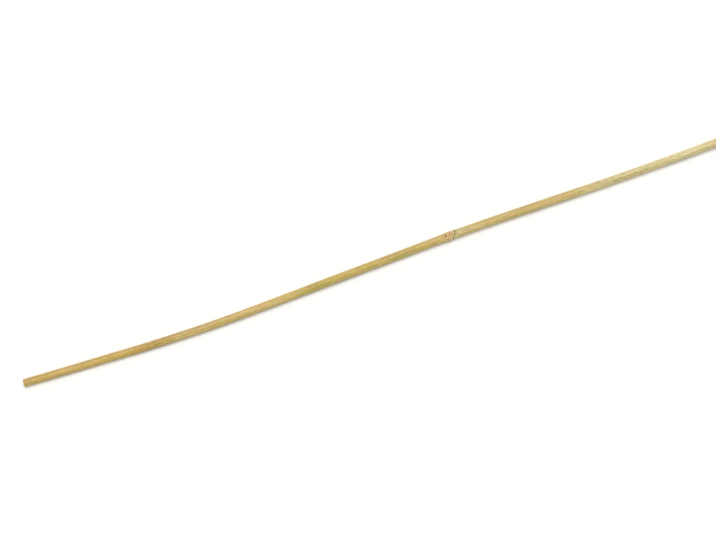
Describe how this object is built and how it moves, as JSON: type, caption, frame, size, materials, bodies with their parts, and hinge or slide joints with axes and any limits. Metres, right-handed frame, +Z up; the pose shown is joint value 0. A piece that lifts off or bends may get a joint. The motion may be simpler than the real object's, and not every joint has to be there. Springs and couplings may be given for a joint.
{
  "type": "bamboo cane",
  "caption": "Slender, slightly bent bamboo cane with ringed nodes and buds, tapering from root end to tip and sawn square at both ends.",
  "frame": {"origin": "middle of the cane's box, on the surface that it lies on", "axes": "+X along the cane from its tip end to its root end, +Z up from the surface, +Y to the left of +X"},
  "size_m": [0.9004, 0.0256, 0.0101],
  "materials": {
    "bamboo": "dry bamboo skin, straw yellow with green and tan stretches, satin, fine lengthwise fibres"
  },
  "bodies": {
    "root": {"cane": "bamboo"}
  },
  "joints": []
}
